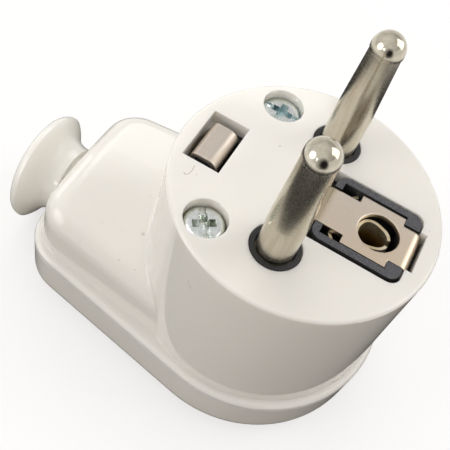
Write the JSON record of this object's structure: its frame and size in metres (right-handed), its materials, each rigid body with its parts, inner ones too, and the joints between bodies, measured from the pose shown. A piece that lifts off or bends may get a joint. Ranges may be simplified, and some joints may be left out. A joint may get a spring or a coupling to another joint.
{
  "type": "angled mains plug",
  "caption": "Rewirable angled mains plug: round pin face with straight round pins, earth socket and earth clip, flanged two-shell housing and a side cable entry with a bell-mouth sleeve.",
  "frame": {"origin": "on the flat back, under the middle of the round pin face", "axes": "+Z is the way the pins point, the cable leaves along -X, the pins stand on the Y axis"},
  "size_m": [0.0585, 0.0384, 0.0537],
  "materials": {
    "white_shell": "glossy moulded white",
    "white_sleeve": "soft moulded white",
    "dark_carrier": "moulded dark grey",
    "nickel_pin": "turned and nickel plated",
    "nickel_strap": "stamped and nickel plated",
    "brass_sleeve": "rolled sheet, dull plated",
    "zinc_screw": "zinc plated"
  },
  "bodies": {
    "root": {"front_housing": "white_shell", "rear_cover": "white_shell", "cable_sleeve": "white_sleeve", "contact_carrier": "dark_carrier", "live_pin": "nickel_pin", "neutral_pin": "nickel_pin", "earth_strap": "nickel_strap", "earth_sleeve": "brass_sleeve", "earth_washer": "zinc_screw", "earth_screw": "zinc_screw", "terminal_screws": "zinc_screw", "cover_screws": "zinc_screw", "clamp_screws": "zinc_screw", "cord_clamp": "dark_carrier"}
  },
  "joints": []
}
